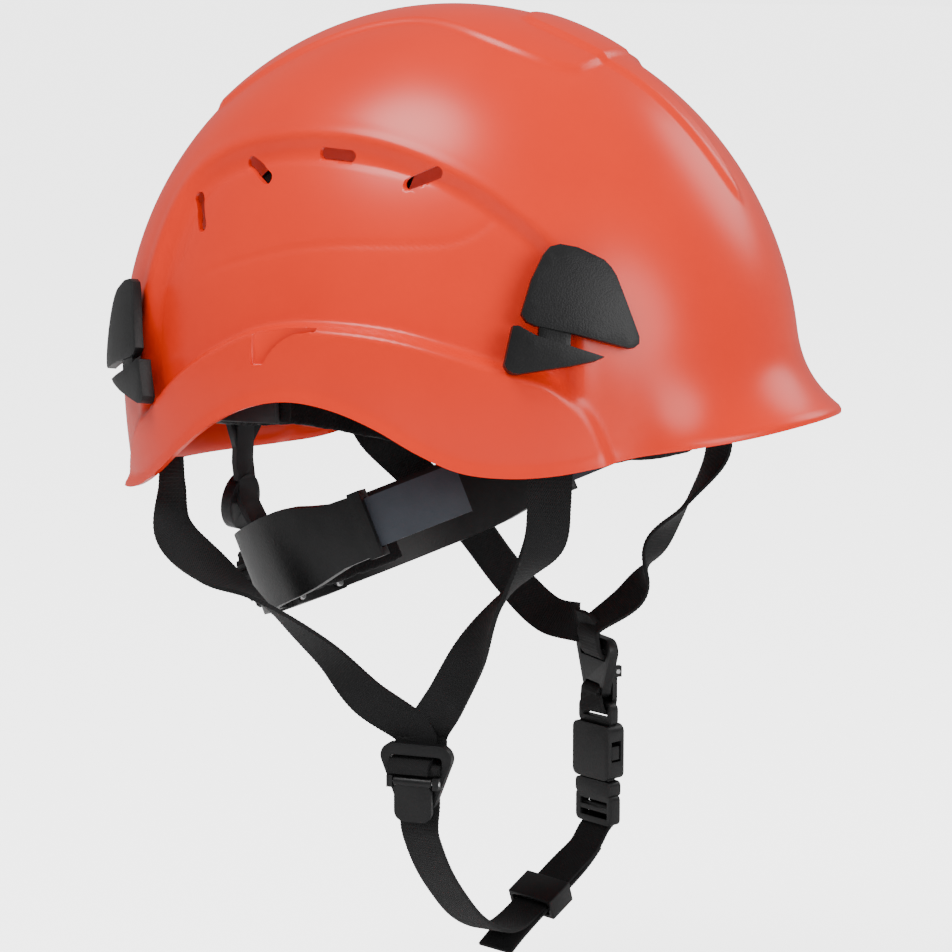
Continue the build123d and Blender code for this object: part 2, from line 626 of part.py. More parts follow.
def save_suspension():
    for side, word in ((-1, "right"), (1, "left")):
        save(f"{word}_suspension_lugs", make_lugs(side))
        save(f"{word}_rear_strut", make_rear_struts(side))
    save("rear_hoop", make_rear_hoop())
    save("rear_pad", make_rear_pad())
    save("headband", make_headband())
    save("sweatband", make_sweatband())
    save("nape_yoke", make_yoke())
    save("crown_strap_long", make_crown_strap(True))
    save("crown_strap_cross", make_crown_strap(False))
    save("crown_pad", make_crown_pad())


def save_adjuster():
    save("left_rack_band", ring_place(make_rack(1)))
    save("right_rack_band", ring_place(make_rack(-1)))
    save("drive_pinion", ring_place(make_pinion()))
    save("adjuster_knob", ring_place(make_knob()))
    save("ratchet_housing", ring_place(make_housing()))
    save("ratchet_inner_cover", ring_place(make_inner_cover()))
    save("cover_screws", [s for c in make_screws() for s in ring_place(c).solids()])
    save("nape_pad", ring_place(make_nape_pad()))


def save_straps():
    for name, x, y, z in ANCHORS:
        save(f"{name}_strap_anchor", make_anchor(x, y, z))
    save("right_rear_strap", make_right_rear_strap())
    save("right_front_strap", make_right_front_strap())
    save("left_rear_strap", make_left_rear_strap())
    save("left_front_strap", make_left_front_strap())
    dividers = (("right", divider_plane(RIGHT_DIVIDER, -1, 8)), ("left", divider_plane(LEFT_DIVIDER, 1, 35)))
    for word, plane in dividers:
        save(f"{word}_divider_frame", make_divider_frame(plane))
        save(f"{word}_divider_lever", make_divider_lever(plane))
        save(f"{word}_divider_pin", make_divider_pin(plane))
    save("chin_strap", make_chin_strap())
    save("strap_tail", make_strap_tail())
    save("strap_keeper", make_keeper())


def save_buckle():
    save("buckle_socket", make_buckle_socket())
    save("buckle_plug", make_buckle_plug())
    save("buckle_front_arm", make_buckle_arm(-1))
    save("buckle_rear_arm", make_buckle_arm(1))


def main():
    os.makedirs(OUT, exist_ok=True)
    save_shell_pieces()
    save_suspension()
    save_adjuster()
    save_straps()
    save_buckle()


if __name__ == "__main__":
    main()
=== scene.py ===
"""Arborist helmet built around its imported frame: shell, suspension, webbing and chin strap hardware."""

import json
from math import cos, pi, radians, sin, sqrt

import bpy
import numpy as np
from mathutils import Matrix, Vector

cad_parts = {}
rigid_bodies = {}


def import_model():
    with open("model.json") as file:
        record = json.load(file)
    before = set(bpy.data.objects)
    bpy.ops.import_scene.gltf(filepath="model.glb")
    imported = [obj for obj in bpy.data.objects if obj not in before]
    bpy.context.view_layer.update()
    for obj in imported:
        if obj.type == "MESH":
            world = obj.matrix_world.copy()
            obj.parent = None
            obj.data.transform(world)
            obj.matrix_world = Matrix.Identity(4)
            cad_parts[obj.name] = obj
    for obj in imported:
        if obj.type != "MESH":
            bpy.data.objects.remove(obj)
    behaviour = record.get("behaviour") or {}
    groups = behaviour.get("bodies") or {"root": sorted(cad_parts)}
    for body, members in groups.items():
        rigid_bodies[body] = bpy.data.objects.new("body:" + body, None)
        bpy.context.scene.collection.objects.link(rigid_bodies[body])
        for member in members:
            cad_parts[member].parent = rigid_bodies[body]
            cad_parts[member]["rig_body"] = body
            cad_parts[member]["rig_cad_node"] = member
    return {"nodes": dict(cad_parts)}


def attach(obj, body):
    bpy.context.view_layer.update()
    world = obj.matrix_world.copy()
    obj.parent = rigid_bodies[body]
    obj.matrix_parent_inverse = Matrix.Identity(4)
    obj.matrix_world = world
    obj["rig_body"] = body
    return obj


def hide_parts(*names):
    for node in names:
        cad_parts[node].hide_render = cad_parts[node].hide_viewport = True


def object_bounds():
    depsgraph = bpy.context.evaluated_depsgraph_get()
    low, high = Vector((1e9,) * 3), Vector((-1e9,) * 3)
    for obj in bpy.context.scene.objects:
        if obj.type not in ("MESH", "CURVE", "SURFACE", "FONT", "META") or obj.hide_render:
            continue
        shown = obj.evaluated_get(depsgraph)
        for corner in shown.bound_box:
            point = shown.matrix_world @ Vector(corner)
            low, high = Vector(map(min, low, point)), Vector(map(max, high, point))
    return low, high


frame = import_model()
CAD_BOX = [list(corner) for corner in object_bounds()]
MM = 0.001


# ---------------------------------------------------------------- working habits
def deselect_all():
    for thing in bpy.context.selected_objects:
        thing.select_set(False)


def pick(piece):
    deselect_all()
    piece.select_set(True)
    bpy.context.view_layer.objects.active = piece


def apply_modifier(piece, kind, **settings):
    """Add one modifier with its settings and apply it."""
    pick(piece)
    modifier = piece.modifiers.new(kind.lower(), kind)
    for name, value in settings.items():
        setattr(modifier, name, value)
    bpy.ops.object.modifier_apply(modifier=modifier.name)


def smooth(piece, angle=32):
    pick(piece)
    bpy.ops.object.shade_smooth_by_angle(angle=radians(angle))


def finish_piece(piece, body, material, slot_name, *nodes):
    piece.data.materials.clear()
    piece.data.materials.append(material)
    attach(piece, body)
    if nodes:
        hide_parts(*nodes)
    return piece


# ---------------------------------------------------------------- materials
def new_material(name):
    material = bpy.data.materials.new(name)
    material.use_nodes = True
    nodes = material.node_tree.nodes
    return material, nodes, material.node_tree.links, nodes["Principled BSDF"]


def add_node(nodes, kind, **inputs):
    node = nodes.new(kind)
    for name, value in inputs.items():
        node.inputs[name.replace("_", " ")].default_value = value
    return node


def object_place(nodes, links, scale=(1, 1, 1)):
    coordinates = nodes.new("ShaderNodeTexCoord")
    mapping = nodes.new("ShaderNodeMapping")
    mapping.inputs["Scale"].default_value = scale
    links.new(coordinates.outputs["Object"], mapping.inputs["Vector"])
    return mapping.outputs["Vector"]


def colour_spread(nodes, links, factor, low, high, positions=(0.3, 0.7)):
    ramp = nodes.new("ShaderNodeValToRGB")
    ramp.color_ramp.elements[0].position = positions[0]
    ramp.color_ramp.elements[1].position = positions[1]
    ramp.color_ramp.elements[0].color = (*low, 1)
    ramp.color_ramp.elements[1].color = (*high, 1)
    links.new(factor, ramp.inputs["Fac"])
    return ramp.outputs["Color"]


def add_bump(nodes, links, height, shader, strength, distance, below=None):
    bump = nodes.new("ShaderNodeBump")
    bump.inputs["Strength"].default_value = strength
    bump.inputs["Distance"].default_value = distance
    links.new(height, bump.inputs["Height"])
    if below is not None:
        links.new(below, bump.inputs["Normal"])
    if shader is not None:
        links.new(bump.outputs["Normal"], shader.inputs["Normal"])
    return bump.outputs["Normal"]


def noise(nodes, links, place, scale, detail=3.0, rough=0.5):
    texture = add_node(nodes, "ShaderNodeTexNoise", Scale=scale, Detail=detail, Roughness=rough)
    links.new(place, texture.inputs["Vector"])
    return texture.outputs["Fac"]


def roughness_spread(nodes, links, factor, low, high, shader):
    span = nodes.new("ShaderNodeMapRange")
    span.inputs["To Min"].default_value = low
    span.inputs["To Max"].default_value = high
    links.new(factor, span.inputs["Value"])
    links.new(span.outputs["Result"], shader.inputs["Roughness"])


def gloss_shell_plastic():
    """Orange-red moulded shell: gloss with the faint waviness and handling haze of moulded plastic."""
    material, nodes, links, shader = new_material("shell_orange_gloss")
    place = object_place(nodes, links)
    broad = noise(nodes, links, place, 18.0, 2.0)
    links.new(colour_spread(nodes, links, broad, (0.86, 0.030, 0.006), (0.92, 0.036, 0.008)),
              shader.inputs["Base Color"])
    roughness_spread(nodes, links, noise(nodes, links, place, 25.0, 2.0), 0.27, 0.33, shader)
    add_bump(nodes, links, noise(nodes, links, place, 45.0, 1.0), shader, 0.04, 0.0004)
    shader.inputs["Specular IOR Level"].default_value = 0.34
    return material


def textured_plastic(name, low, high, grain, rough, depth):
    """Moulded plastic with a spark-eroded grain."""
    material, nodes, links, shader = new_material(name)
    place = object_place(nodes, links)
    cells = add_node(nodes, "ShaderNodeTexVoronoi", Scale=grain)
    links.new(place, cells.inputs["Vector"])
    patches = noise(nodes, links, place, 70.0, 4.0)
    links.new(colour_spread(nodes, links, patches, low, high), shader.inputs["Base Color"])
    roughness_spread(nodes, links, patches, rough[0], rough[1], shader)
    grainy = add_bump(nodes, links, cells.outputs["Distance"], None, 0.35, depth)
    add_bump(nodes, links, noise(nodes, links, place, grain * 0.35, 3.0), shader, 0.25, depth, grainy)
    shader.inputs["Specular IOR Level"].default_value = 0.30
    return material


def webbing_cloth():
    """Black ribbed webbing; the map runs across the tape in U and along it in V, both in metres."""
    material, nodes, links, shader = new_material("webbing_black_ribbed")
    place = nodes.new("ShaderNodeUVMap")
    place.uv_map = "tape"
    split = nodes.new("ShaderNodeSeparateXYZ")
    links.new(place.outputs["UV"], split.inputs["Vector"])

    def ripple(source, pitch):
        scaled = nodes.new("ShaderNodeMath")
        scaled.operation = "MULTIPLY"
        scaled.inputs[1].default_value = 2 * pi / pitch
        links.new(source, scaled.inputs[0])
        wave = nodes.new("ShaderNodeMath")
        wave.operation = "SINE"
        links.new(scaled.outputs[0], wave.inputs[0])
        return wave.outputs[0]

    across = ripple(split.outputs["X"], 0.0008)
    along = ripple(split.outputs["Y"], RIB_PITCH)
    product = nodes.new("ShaderNodeMath")
    product.operation = "MULTIPLY"
    links.new(across, product.inputs[0])
    links.new(along, product.inputs[1])
    fuzz = noise(nodes, links, object_place(nodes, links), 1400.0, 4.0, 0.7)
    cast = noise(nodes, links, object_place(nodes, links), 55.0, 3.0)
    links.new(colour_spread(nodes, links, cast, (0.0035, 0.0035, 0.0038), (0.0075, 0.0075, 0.0080)),
              shader.inputs["Base Color"])
    weave = add_bump(nodes, links, product.outputs[0], None, 0.5, 0.0002)
    add_bump(nodes, links, fuzz, shader, 0.35, 0.0003, weave)
    shader.inputs["Roughness"].default_value = 0.72
    shader.inputs["Sheen Weight"].default_value = 0.04
    shader.inputs["Specular IOR Level"].default_value = 0.25
    shader.inputs["Sheen Roughness"].default_value = 0.4
    return material


def padded_knit():
    """Fine knit over foam."""
    material, nodes, links, shader = new_material("pad_black_knit")
    place = object_place(nodes, links)
    knit = add_node(nodes, "ShaderNodeTexVoronoi", Scale=850.0)
    links.new(place, knit.inputs["Vector"])
    cast = noise(nodes, links, place, 40.0, 4.0)
    links.new(colour_spread(nodes, links, cast, (0.0035, 0.0035, 0.0038), (0.0075, 0.0075, 0.0080)),
              shader.inputs["Base Color"])
    knitted = add_bump(nodes, links, knit.outputs["Distance"], None, 0.6, 0.0005)
    add_bump(nodes, links, noise(nodes, links, place, 300.0, 3.0), shader, 0.3, 0.0006, knitted)
    shader.inputs["Roughness"].default_value = 0.85
    shader.inputs["Sheen Weight"].default_value = 0.04
    shader.inputs["Specular IOR Level"].default_value = 0.2
    shader.inputs["Sheen Roughness"].default_value = 0.5
    return material


def turned_steel():
    material, nodes, links, shader = new_material("zinc_plated_steel")
    place = object_place(nodes, links, (1, 1, 12))
    streaks = noise(nodes, links, place, 300.0, 4.0)
    links.new(colour_spread(nodes, links, streaks, (0.42, 0.42, 0.43), (0.62, 0.62, 0.62)),
              shader.inputs["Base Color"])
    shader.inputs["Metallic"].default_value = 1.0
    roughness_spread(nodes, links, streaks, 0.25, 0.42, shader)
    return material


# ---------------------------------------------------------------- shell shape
HALF_WIDTH, HALF_LENGTH, DOME_HEIGHT, WIDEST_Z, SKIRT = 108.0, 138.0, 139.0, 21.0, 200.0
WALL = 2.4
RIM = ((-138, 11), (-130, 8), (-116, 4), (-100, 0), (-86, -3), (-70, -4), (-54, -2), (-40, 4), (-25, 12),
       (-8, 18), (10, 20), (30, 16), (44, 10), (56, 3), (68, -5), (80, -13), (93, -20), (104, -24),
       (118, -26), (138, -27))
LEDGE = ((-112, -60), (-104, 8), (-90, 31), (-72, 37), (-52, 43), (-32, 48), (-12, 50), (10, 50), (30, 47),
         (44, 41), (60, 33), (74, 24), (88, 12), (104, 0), (116, -24), (125, -60))
PANEL = ((90, -30), (94, 14), (94, 50), (91, 66), (87, 80), (80, 95), (66, 106), (44, 113), (14, 116.5),
         (-18, 113), (-48, 102), (-68, 90), (-84, 76), (-92, 50), (-94, -30))
GROOVE = ((81, 52), (66, 62), (44, 70), (8, 78), (-26, 79), (-50, 80), (-62, 92), (-52, 98), (-18, 106),
          (14, 109), (44, 106), (66, 98), (78, 84))
CROWN = ((-38, 92), (-41, 70), (-39, 45), (-31, 12), (-30, -5), (-38, -36), (-34, -66), (-17, -70))
SPINE = ((-15, -30), (-16, -60), (-9, -84), (-6, -121))
VENTS = ((70, 84, 58), (42, 101, 27), (7, 108, 3), (-30, 101, -22))
PEAK_CENTRE_Y, PEAK_RADIUS, PEAK_TOP_Z = -88.6, 68.4, 41.0


def soft_step(value):
    value = np.clip(value, 0.0, 1.0)
    return value * value * (3.0 - 2.0 * value)


def through(points, at):
    """Smooth curve through (x, y) points, read at the given x values."""
    xs = np.array([p[0] for p in points], float)
    ys = np.array([p[1] for p in points], float)
    slope = np.gradient(ys, xs)
    at = np.clip(at, xs[0], xs[-1])
    i = np.clip(np.searchsorted(xs, at) - 1, 0, len(xs) - 2)
    h = xs[i + 1] - xs[i]
    t = (at - xs[i]) / h
    return ((2 * t ** 3 - 3 * t ** 2 + 1) * ys[i] + (t ** 3 - 2 * t ** 2 + t) * h * slope[i]
            + (3 * t ** 2 - 2 * t ** 3) * ys[i + 1] + (t ** 3 - t ** 2) * h * slope[i + 1])


def rounded_loop(corners, rounds=3):
    """Closed outline with its corners cut again and again, which leaves a smooth curve."""
    loop = np.array(corners, float)
    for _ in range(rounds):
        after = np.roll(loop, -1, axis=0)
        loop = np.stack([0.75 * loop + 0.25 * after, 0.25 * loop + 0.75 * after], 1).reshape(-1, 2)
    return loop


def inside_distance(loop, u, v):
    """How far each point lies inside a closed outline; negative outside."""
    best = np.full(u.shape, 1e9)
    inside = np.zeros(u.shape, bool)
    for (x0, y0), (x1, y1) in zip(loop, np.roll(loop, -1, axis=0)):
        dx, dy = x1 - x0, y1 - y0
        t = np.clip(((u - x0) * dx + (v - y0) * dy) / (dx * dx + dy * dy + 1e-12), 0, 1)
        best = np.minimum(best, np.hypot(u - x0 - t * dx, v - y0 - t * dy))
        crosses = ((y0 > v) != (y1 > v)) & (u < (x1 - x0) * (v - y0) / (y1 - y0 + 1e-12) + x0)
        inside ^= crosses
    return np.where(inside, best, -best)


BAND_LOOP = rounded_loop(LEDGE + ((125, -160), (-112, -160)))


def mirrored_loop(half):
    return list(half) + [(-x, y) for x, y in reversed(half)]


def shell_surface(turn, down, plain=False):
    """Points of the shell's outside, in millimetres; plain leaves out the panels, bands and lips.

    turn runs round from the front towards the wearer's left; down runs from 0 at the crown to 1 at the rim.
    """
    rim_y = -HALF_LENGTH * np.cos(turn)
    rim_z = through(RIM, rim_y)
    dome_run = 205.0
    run = down * (dome_run + WIDEST_Z - rim_z)
    climb = np.clip(1.0 - run / dome_run, 0.0, 1.0) * pi / 2
    z = np.where(run < dome_run, WIDEST_Z + DOME_HEIGHT * np.sin(climb), WIDEST_Z - (run - dome_run))
    spread = np.where(run < dome_run, np.cos(climb), np.sqrt(1 - ((WIDEST_Z - z).clip(0) / SKIRT) ** 2))
    x = HALF_WIDTH * spread * np.sin(turn)
    y = -HALF_LENGTH * spread * np.cos(turn)
    height = np.where(z > WIDEST_Z, DOME_HEIGHT, SKIRT)
    normal = np.stack([x / HALF_WIDTH ** 2, y / HALF_LENGTH ** 2, (z - WIDEST_Z) / height ** 2], -1)
    normal /= np.linalg.norm(normal, axis=-1, keepdims=True)
    to_rim = z - rim_z

    on_band = soft_step(inside_distance(BAND_LOOP, y, z) / 4.4)
    panel = inside_distance(rounded_loop(PANEL), y, z)
    recess = soft_step(panel / 6.0) ** 0.8 * soft_step((np.abs(x) - 30) / 20)
    edge_line = np.exp(-((panel + 1.5) / 3.0) ** 2) * soft_step((np.abs(x) - 30) / 20)
    rise = 2.4 * on_band + (0.5 * edge_line - 4.4 * recess) * (1 - on_band)
    groove = np.abs(inside_distance(rounded_loop(GROOVE), y, z))
    rise -= 0.45 * np.exp(-(groove / 1.0) ** 2) * recess * soft_step((z - 60) / 10)
    crown = inside_distance(rounded_loop(mirrored_loop(CROWN)), x, y)
    spine = inside_distance(rounded_loop(mirrored_loop(SPINE)), x, y)
    top = soft_step((z - 60) / 12)
    rise += top * (1.5 * soft_step(crown / 3.5) + 1.6 * soft_step(spine / 4.0))
    back = soft_step((y - 84) / 30)
    front = soft_step((-y - 92) / 20)
    rise += (1.0 + 1.4 * back - 0.8 * front) * soft_step(1 - to_rim / 7.0) ** 2
    if plain:
        rise = 0 * rise
    points = np.stack([x, y, z], -1) + normal * rise[..., None]

    flat = np.hypot(x, y) + 1e-9
    ux, uy = x / flat, y / flat
    b = uy * PEAK_CENTRE_Y
    reach = b + np.sqrt(np.maximum(b * b - PEAK_CENTRE_Y ** 2 + PEAK_RADIUS ** 2, 0))
    rim_flat = 1.0 / np.sqrt((ux / HALF_WIDTH) ** 2 + (uy / HALF_LENGTH) ** 2)
    extra = np.where(y < 0, reach - rim_flat, 0.0)
    extra = 0.5 * (extra + np.sqrt(extra ** 2 + 9.0)) - 0.6
    extra = np.where(y < -60, np.maximum(extra, 0), 0) * soft_step((-y - 84) / 22)
    low = np.clip((PEAK_TOP_Z - z) / np.maximum(PEAK_TOP_Z - rim_z - 2.0, 1.0), 0, 1)
    flare = extra * low ** 2.4
    points[..., 0] += ux * flare
    points[..., 1] += uy * flare
    return points


def slot_cutter(length, width, depth):
    """Round-ended bar used to cut slots, lying along X."""
    bpy.ops.mesh.primitive_cube_add(size=1)
    cutter = bpy.context.active_object
    bpy.ops.object.mode_set(mode="EDIT")
    bpy.ops.mesh.select_all(action="SELECT")
    bpy.ops.transform.resize(value=(depth, length, width))
    bpy.ops.object.mode_set(mode="OBJECT")
    apply_modifier(cutter, "BEVEL", width=width * 0.49, segments=6, limit_method="ANGLE")
    return cutter


def place_mesh(piece, turn_x=0.0, move=(0, 0, 0)):
    """Turn a mesh about X and move it, leaving its object at the origin."""
    co = read_points(piece.data)
    c, s = cos(turn_x), sin(turn_x)
    y = co[:, 1] * c - co[:, 2] * s
    z = co[:, 1] * s + co[:, 2] * c
    write_points(piece.data, np.stack([co[:, 0], y, z], 1) + np.array(move))


def inner_surface(turn, down):
    """The inside skin: one wall in from the outside, square to the dome and the peak."""
    step = 0.012
    along = shell_surface(turn + step, down, True) - shell_surface(turn - step, down, True)
    below = shell_surface(turn, np.minimum(down + step, 1.0), True) - shell_surface(turn, down - step, True)
    outward = np.cross(below, along)
    length = np.linalg.norm(outward, axis=-1, keepdims=True)
    outward = np.where(length > 1e-6, outward / np.maximum(length, 1e-6), [0.0, 0.0, 1.0])
    return shell_surface(turn, down) - WALL * outward


def half_sphere(name, segments, rings, surface):
    """Upper half of a sphere with its rings drawn out to follow a surface from the crown to the rim."""
    bpy.ops.mesh.primitive_uv_sphere_add(segments=segments, ring_count=2 * rings, radius=1.0)
    skin = bpy.context.active_object
    skin.name = name
    bpy.ops.object.mode_set(mode="EDIT")
    bpy.ops.mesh.select_all(action="SELECT")
    bpy.ops.mesh.bisect(plane_co=(0, 0, 0), plane_no=(0, 0, 1), clear_inner=True, threshold=0.0005)
    bpy.ops.object.mode_set(mode="OBJECT")
    co = read_points(skin.data)
    turn = np.arctan2(co[:, 0], -co[:, 1])
    down = np.clip(np.arccos(np.clip(co[:, 2], -1, 1)) / (pi / 2), 0.0005, 1)
    write_points(skin.data, surface(turn, down) * MM)
    return skin


def read_points(data):
    co = np.empty(len(data.vertices) * 3, np.float32)
    data.vertices.foreach_get("co", co)
    return co.reshape(-1, 3).astype(float)


def write_points(data, points):
    data.vertices.foreach_set("co", np.asarray(points, np.float32).ravel())
    data.update()


def cut(piece, cutters):
    """Join the cutters into one and take it away from the piece."""
    deselect_all()
    for cutter in cutters:
        cutter.select_set(True)
    bpy.context.view_layer.objects.active = cutters[0]
    bpy.ops.object.join()
    apply_modifier(piece, "BOOLEAN", operation="DIFFERENCE", solver="EXACT", object=cutters[0])
    bpy.data.objects.remove(cutters[0])


def build_shell(material):
    shell = half_sphere("shell_moulding", 400, 168, shell_surface)
    inside = half_sphere("shell_inside", 200, 84, inner_surface)
    pick(inside)
    bpy.ops.object.mode_set(mode="EDIT")
    bpy.ops.mesh.select_all(action="SELECT")
    bpy.ops.mesh.flip_normals()
    bpy.ops.object.mode_set(mode="OBJECT")
    pick(shell)
    inside.select_set(True)
    bpy.ops.object.join()
    bpy.ops.object.mode_set(mode="EDIT")
    bpy.ops.mesh.select_all(action="DESELECT")
    bpy.ops.mesh.select_mode(type="EDGE")
    bpy.ops.mesh.select_non_manifold()
    bpy.ops.mesh.bridge_edge_loops()
    bpy.ops.mesh.select_all(action="SELECT")
    bpy.ops.mesh.normals_make_consistent(inside=False)
    bpy.ops.object.mode_set(mode="OBJECT")
    cutters = []
    for y, z, slope in VENTS:
        for side in (-1, 1):
            cutter = slot_cutter(0.016, 0.0046, 0.050)
            place_mesh(cutter, radians(slope), (side * 0.085, y * MM, z * MM))
            cutters.append(cutter)
    for side in (-1, 1):
        cutter = slot_cutter(0.028, 0.0024, 0.022)
        write_points(cutter.data, read_points(cutter.data)[:, [2, 1, 0]])
        cutter.data.flip_normals()
        place_mesh(cutter, 0.0, (side * (HALF_WIDTH - 0.6) * MM, 0.014, 0.043))
        cutters.append(cutter)
    cut(shell, cutters)
    smooth(shell, 68)
    return finish_piece(shell, "helmet", material, "shell_orange", "shell")


# ---------------------------------------------------------------- moulded pieces refined from the frame
def refined(node, body, material, slot_name, bevel=0.5, angle=34, segments=3):
    """Copy of a moulded piece with its moulding radii put on."""
    source = frame["nodes"][node]
    piece = source.copy()
    piece.data = source.data.copy()
    piece.name = node + "_moulding"
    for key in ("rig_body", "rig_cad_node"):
        if key in piece:
            del piece[key]
    piece.parent = None
    bpy.context.scene.collection.objects.link(piece)
    pick(piece)
    bpy.ops.object.mode_set(mode="EDIT")
    bpy.ops.mesh.select_all(action="SELECT")
    bpy.ops.mesh.remove_doubles(threshold=0.00002)
    bpy.ops.mesh.dissolve_limited(angle_limit=radians(1.5))
    bpy.ops.object.mode_set(mode="OBJECT")
    if bevel:
        apply_modifier(piece, "BEVEL", width=bevel * MM, segments=segments, limit_method="ANGLE",
                       angle_limit=radians(angle), use_clamp_overlap=True, miter_outer="MITER_ARC")
    smooth(piece, 40)
    return finish_piece(piece, body, material, slot_name, node)


# ---------------------------------------------------------------- tapes and webbing
WEB = 0.016
THICK = 0.0016
RIB_PITCH = 0.0015


def curve_stations(stations, step):
    """Smooth path through (point, across) stations in millimetres, read at even steps in metres."""
    points = np.array([s[0] for s in stations], float) * MM
    across = np.array([s[1] for s in stations], float)
    across /= np.linalg.norm(across, axis=1, keepdims=True)
    knots = np.concatenate([[0], np.cumsum(np.linalg.norm(np.diff(points, axis=0), axis=1) ** 0.5)])
    fine = np.linspace(0, knots[-1], 60 * len(points))

    def spread(values):
        slope = np.gradient(values, knots, axis=0)
        i = np.clip(np.searchsorted(knots, fine, side="right") - 1, 0, len(knots) - 2)
        h = (knots[i + 1] - knots[i])[:, None]
        t = ((fine - knots[i])[:, None]) / h
        return ((2 * t ** 3 - 3 * t ** 2 + 1) * values[i] + (t ** 3 - 2 * t ** 2 + t) * h * slope[i]
                + (3 * t ** 2 - 2 * t ** 3) * values[i + 1] + (t ** 3 - t ** 2) * h * slope[i + 1])

    path, side = spread(points), spread(across)
    run = np.concatenate([[0], np.cumsum(np.linalg.norm(np.diff(path, axis=0), axis=1))])
    count = max(int(run[-1] / step), 8)
    at = np.linspace(0, run[-1], count + 1)
    path = np.stack([np.interp(at, run, path[:, k]) for k in range(3)], 1)
    side = np.stack([np.interp(at, run, side[:, k]) for k in range(3)], 1)
    ahead = np.gradient(path, at, axis=0)
    ahead /= np.linalg.norm(ahead, axis=1, keepdims=True)
    side -= ahead * np.sum(side * ahead, axis=1, keepdims=True)
    side /= np.linalg.norm(side, axis=1, keepdims=True)
    return at, path, side, np.cross(ahead, side)


def hardware_frame(centre, side, yaw):
    """A fitting's own directions: level along its bar, and out from the head."""
    out = np.array([side * cos(radians(yaw)), -sin(radians(yaw)), 0.0])
    return np.array(centre, float), np.array([-out[1], out[0], 0.0]), out


def local_stations(fitting, places, turn=1):
    """Stations given as (along the bar, up, out) in a fitting's own frame; turn flips the width direction."""
    centre, level, out = fitting
    return tuple((tuple(centre + u * level + np.array([0.0, 0.0, v]) + w * out), tuple(turn * level))
                 for u, v, w in places)


def over_bar(fitting, u0, outer, turn):
    """Webbing down behind the top bar, out through the window and in under the lever; outer lies on top."""
    places = (((14.5, -3.2), (9.5, -3.1), (6.9, -2.4), (5.2, -0.2), (4.3, 2.6), (2.6, 4.6), (0.6, 4.8)) if outer
              else ((14.5, -5.0), (9.5, -4.8), (6.2, -4.0), (3.8, -2.4), (3.1, 0.0), (2.5, 2.4), (0.6, 2.9)))
    return local_stations(fitting, tuple((u0, v, w) for v, w in places), turn)


def lay_tape(name, stations, width, thick, material, slot_name, nodes, step=0.0005, rib=0.00009,
             columns=10, body="helmet"):
    """Tape laid flat and then bent along its route, given its thickness and its woven ribs."""
    at, path, side, up = curve_stations(stations, step)
    rows = len(at)
    bpy.ops.mesh.primitive_grid_add(x_subdivisions=columns, y_subdivisions=rows - 1, size=1.0)
    tape = bpy.context.active_object
    tape.name = name
    data = tape.data
    co = read_points(data)
    row = np.rint((co[:, 1] + 0.5) * (rows - 1)).astype(int)
    over = co[:, 0]
    place = path[row] + side[row] * (over * width)[:, None]
    write_points(data, place)
    layer = data.uv_layers[0] if data.uv_layers else data.uv_layers.new(name="tape")
    layer.name = "tape"
    loops = np.empty(len(data.loops), np.int32)
    data.loops.foreach_get("vertex_index", loops)
    uv = np.stack([over[loops] * width, at[row[loops]]], 1)
    layer.data.foreach_set("uv", uv.astype(np.float32).ravel())
    data.update()
    apply_modifier(tape, "SOLIDIFY", thickness=thick, offset=0.0, use_rim=True, use_even_offset=False)
    apply_modifier(tape, "BEVEL", width=thick * 0.3, segments=2, limit_method="ANGLE",
                   angle_limit=radians(50), use_clamp_overlap=True)
    smooth(tape, 50)
    if rib:
        data = tape.data
        co = read_points(data)
        normals = np.empty(len(data.vertices) * 3, np.float32)
        data.vertices.foreach_get("normal", normals)
        normals = normals.reshape(-1, 3)
        best = np.zeros(len(co), int)
        for start in range(0, len(co), 4000):
            gap = np.linalg.norm(co[start:start + 4000, None] - path[None], axis=2)
            best[start:start + 4000] = gap.argmin(1)
        wave = np.cos(2 * pi * at[best] / RIB_PITCH)
        co += normals * (rib * wave)[:, None]
        write_points(data, co)
    return finish_piece(tape, body, material, slot_name, *nodes)


RIGHT_REAR = (((-74.5, 84.5, -11), (0.5, 1, 0)), ((-76, 83.5, -22), (0.4, 1, 0)),
              ((-81, 80, -38), (-0.2, 0.85, -0.5)), ((-85, 60, -51), (-0.87, 0.15, -0.42)),
              ((-85.5, 41, -60), (-0.91, -0.34, 0.16)), ((-84, 25, -70), (-0.69, -0.54, 0.46)),
              ((-80, 12, -81), (-0.45, -0.63, 0.63)), ((-76, -2, -96), (-0.04, -0.65, 0.76)),
              ((-73.4, -13, -109), (0.05, -0.8, 0.6)))
RIGHT_FRONT = (((-75.5, -79, -4), (0.5, -1, 0)), ((-76.5, -79, -16), (0.5, -1, 0)),
               ((-76, -77, -30), (0.7, -0.8, 0.1)), ((-76, -66, -46), (1, -0.2, 0.3)),
               ((-75, -56, -58), (0.8, 0.4, 0.3)), ((-74.5, -44, -78), (0.2, 0.8, 0.3)),
               ((-74, -35, -94), (0.05, 0.9, 0.4)), ((-73.4, -30, -107), (0.05, 0.9, 0.35)))
LEFT_REAR = (((74.5, 84.5, -12), (0.5, -1, 0)), ((76.5, 79, -23), (0.4, -1, 0.2)),
             ((84, 66, -38), (0.3, -1, 0.5)), ((85, 41, -57), (0.2, -0.7, 0.8)),
             ((80, 18, -78), (0.1, -0.6, 0.8)), ((70, -6, -91), (0.5, -0.4, 0.9)),
             ((65.0, -20, -96), (0.5, -0.5, 0.8)))
LEFT_FRONT = (((75.5, -79, -4), (0.5, 1, 0)), ((76, -79, -18), (0.6, 1, 0)), ((73, -68, -38), (1, 0.4, 0)),
              ((71, -56, -55), (0.9, -0.4, 0.2)), ((67, -46, -78), (0.5, 0.8, 0.3)),
              ((64.4, -42, -93), (0.4, 0.9, 0.3)))
